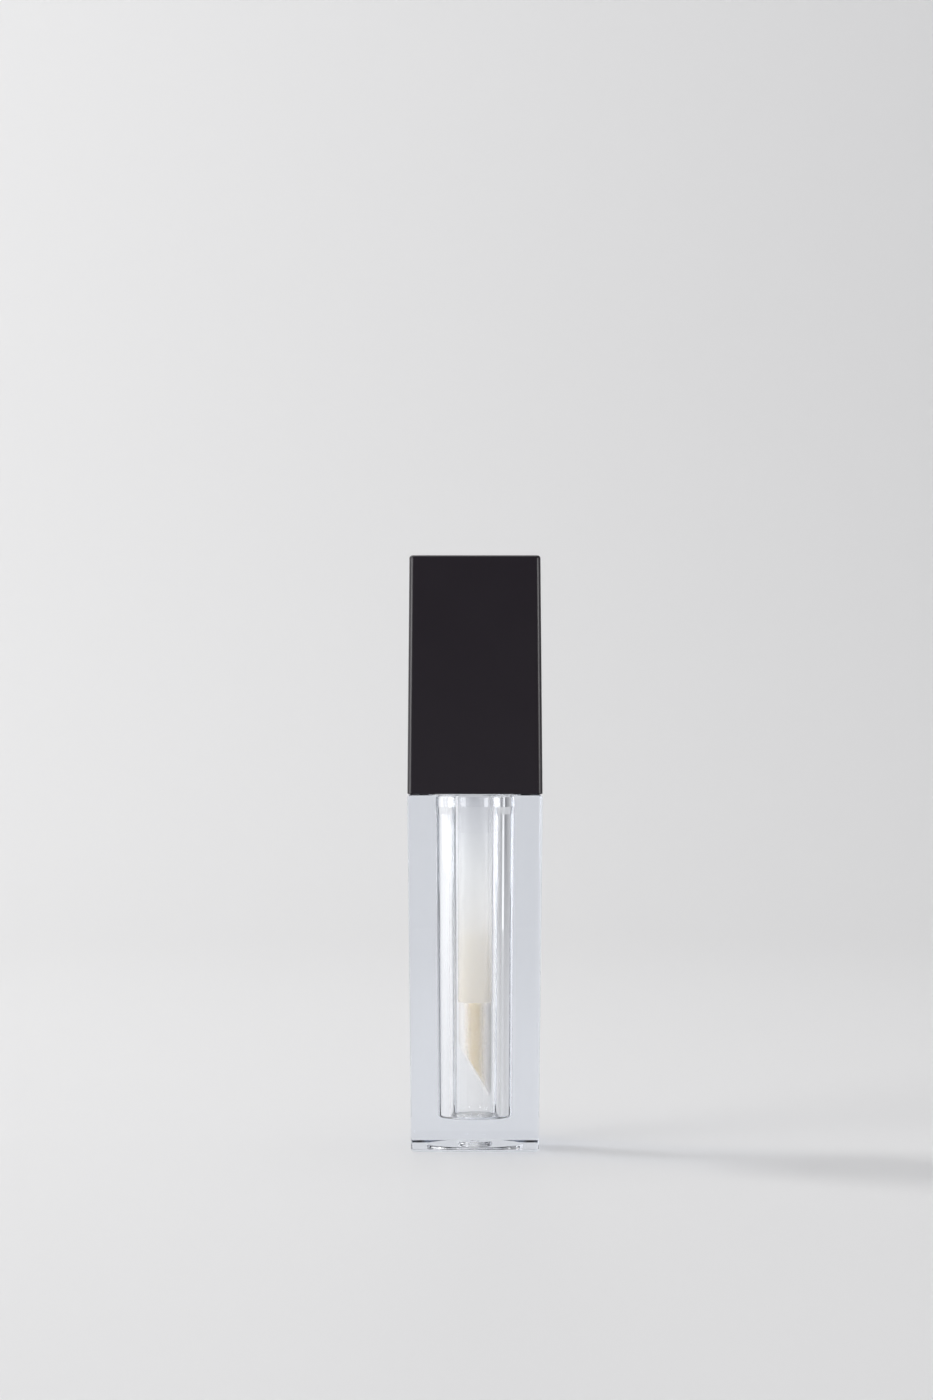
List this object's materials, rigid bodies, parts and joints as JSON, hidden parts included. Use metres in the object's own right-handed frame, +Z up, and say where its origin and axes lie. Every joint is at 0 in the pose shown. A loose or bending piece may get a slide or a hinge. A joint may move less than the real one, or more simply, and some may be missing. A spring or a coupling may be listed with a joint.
{
  "type": "lip gloss tube",
  "caption": "Square clear gloss tube with a drafted black screw cap, a wiper and a hollow wand with a slanted flocked tip.",
  "frame": {"origin": "centre of the foot that the tube stands on", "axes": "+Z up the tube, front faces -Y, the tip's slanted face faces -X when the cap is closed"},
  "size_m": [0.02, 0.02, 0.0882],
  "materials": {
    "clear_bottle": "polished clear acrylic",
    "natural_wiper": "natural soft polyethylene",
    "white_liner": "moulded polypropylene",
    "black_cap": "satin black, moulded",
    "milky_stem": "natural milky polypropylene",
    "cream_core": "matte cream elastomer",
    "pale_flocking": "short dense flock"
  },
  "bodies": {
    "tube": {"bottle": "clear_bottle", "wiper": "natural_wiper"},
    "wand_stem": {"stem": "milky_stem"},
    "screw_cap": {"outer_cap": "black_cap", "inner_cap": "white_liner", "applicator_core": "cream_core", "flocking": "pale_flocking"}
  },
  "joints": [
    {"name": "cap_lift", "type": "slide", "parent": "tube", "child": "wand_stem", "axis": [0, 0, 1], "range_m": [0, 0.066]},
    {"name": "cap_turn", "type": "hinge", "parent": "wand_stem", "child": "screw_cap", "pos_m": [0, 0, 0.0529], "axis": [0, 0, 1], "range_deg": [0, 3960]}
  ],
  "couplings": [
    {"joint": "cap_lift", "follows": "cap_turn", "m_per_rad": 0.00095493}
  ]
}
